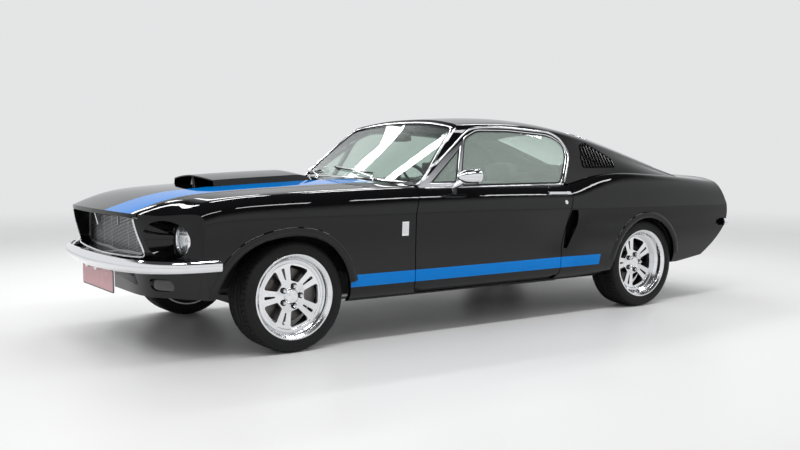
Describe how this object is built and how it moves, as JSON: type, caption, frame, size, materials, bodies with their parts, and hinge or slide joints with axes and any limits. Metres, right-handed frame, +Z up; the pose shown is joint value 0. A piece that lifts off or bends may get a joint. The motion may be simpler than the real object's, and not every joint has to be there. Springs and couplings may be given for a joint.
{
  "type": "fastback muscle car",
  "caption": "Late 1960s fastback coupe in gloss black with blue hood and rocker stripes, opening doors, hood and deck lid, steered front wheels and free-rolling wheels.",
  "frame": {"origin": "on the ground at the centre of the car's bounding box", "axes": "+X forward, +Y to the car's left, +Z up"},
  "size_m": [4.6631, 1.8916, 1.3122],
  "materials": {
    "body_paint": "deep gloss black paint",
    "chrome": "polished chrome",
    "polished_alloy": "polished",
    "tyre_rubber": "matt black rubber",
    "glass": "clear with a faint green tint",
    "lamp_glass": "clear",
    "tail_lens": "red lens",
    "underbody": "satin black",
    "grille_metal": "satin dark",
    "cast_metal": "rough cast",
    "bare_steel": "dull",
    "trim_plastic": "grained black",
    "seat_leather": "light, softly grained"
  },
  "bodies": {
    "root": {"floor_pan": "underbody", "roof_panel": "body_paint", "nose_panel": "body_paint", "front_valance": "body_paint", "grille": "grille_metal", "front_bumper": "chrome", "headlamps": "lamp_glass", "cowl_panel": "body_paint", "windshield": "glass", "rear_window": "glass", "tail_panel": "body_paint", "rear_bumper": "chrome", "tail_lamps": "tail_lens", "dashboard": "trim_plastic", "seats": "seat_leather", "engine": "cast_metal", "driveline": "cast_metal", "exhaust": "bare_steel", "fuel_tank": "bare_steel", "front_suspension": "underbody", "rear_axle": "cast_metal", "fender_left": "body_paint", "quarter_panel_left": "body_paint", "fender_right": "body_paint", "quarter_panel_right": "body_paint"},
    "hood": {"hood": "body_paint", "hood_scoop": "body_paint"},
    "deck_lid": {"deck_lid": "body_paint"},
    "steering_wheel": {"steering_wheel": "trim_plastic"},
    "door_left": {"door_left": "body_paint", "door_glass_left": "glass", "door_hardware_left": "chrome"},
    "knuckle_left": {"knuckle_left": "cast_metal"},
    "wheel_front_left": {"tyre_front_left": "tyre_rubber", "rim_front_left": "polished_alloy"},
    "wheel_rear_left": {"tyre_rear_left": "tyre_rubber", "rim_rear_left": "polished_alloy"},
    "door_right": {"door_right": "body_paint", "door_glass_right": "glass", "door_hardware_right": "chrome"},
    "knuckle_right": {"knuckle_right": "cast_metal"},
    "wheel_front_right": {"tyre_front_right": "tyre_rubber", "rim_front_right": "polished_alloy"},
    "wheel_rear_right": {"tyre_rear_right": "tyre_rubber", "rim_rear_right": "polished_alloy"}
  },
  "joints": [
    {"name": "door_left", "type": "hinge", "parent": "root", "child": "door_left", "pos_m": [0.79, 0.874, 0.6], "axis": [0, 0, -1], "range_deg": [0, 65]},
    {"name": "door_right", "type": "hinge", "parent": "root", "child": "door_right", "pos_m": [0.79, -0.874, 0.6], "axis": [0, 0, 1], "range_deg": [0, 65]},
    {"name": "hood", "type": "hinge", "parent": "root", "child": "hood", "pos_m": [0.75, 0, 0.9195], "axis": [0, -1, 0], "range_deg": [0, 50]},
    {"name": "deck_lid", "type": "hinge", "parent": "root", "child": "deck_lid", "pos_m": [-1.78, 0, 0.991], "axis": [0, 1, 0], "range_deg": [0, 70]},
    {"name": "steer_left", "type": "hinge", "parent": "root", "child": "knuckle_left", "pos_m": [1.4695, 0.68, 0.303], "axis": [0, 0, 1], "range_deg": [-30, 30]},
    {"name": "steer_right", "type": "hinge", "parent": "root", "child": "knuckle_right", "pos_m": [1.4695, -0.68, 0.303], "axis": [0, 0, 1], "range_deg": [-30, 30]},
    {"name": "steering_wheel", "type": "hinge", "parent": "root", "child": "steering_wheel", "pos_m": [0.322, 0.372, 0.818], "axis": [-0.9397, 0, 0.342], "range_deg": [-480, 480]},
    {"name": "spin_front_left", "type": "hinge", "parent": "knuckle_left", "child": "wheel_front_left", "pos_m": [1.4695, 0.7365, 0.303], "axis": [0, 1, 0], "continuous": true},
    {"name": "spin_front_right", "type": "hinge", "parent": "knuckle_right", "child": "wheel_front_right", "pos_m": [1.4695, -0.7365, 0.303], "axis": [0, 1, 0], "continuous": true},
    {"name": "spin_rear_left", "type": "hinge", "parent": "root", "child": "wheel_rear_left", "pos_m": [-1.2735, 0.7365, 0.303], "axis": [0, 1, 0], "continuous": true},
    {"name": "spin_rear_right", "type": "hinge", "parent": "root", "child": "wheel_rear_right", "pos_m": [-1.2735, -0.7365, 0.303], "axis": [0, 1, 0], "continuous": true}
  ],
  "couplings": [
    {"joint": "steer_right", "follows": "steer_left", "ratio": 1},
    {"joint": "steering_wheel", "follows": "steer_left", "ratio": 16}
  ]
}
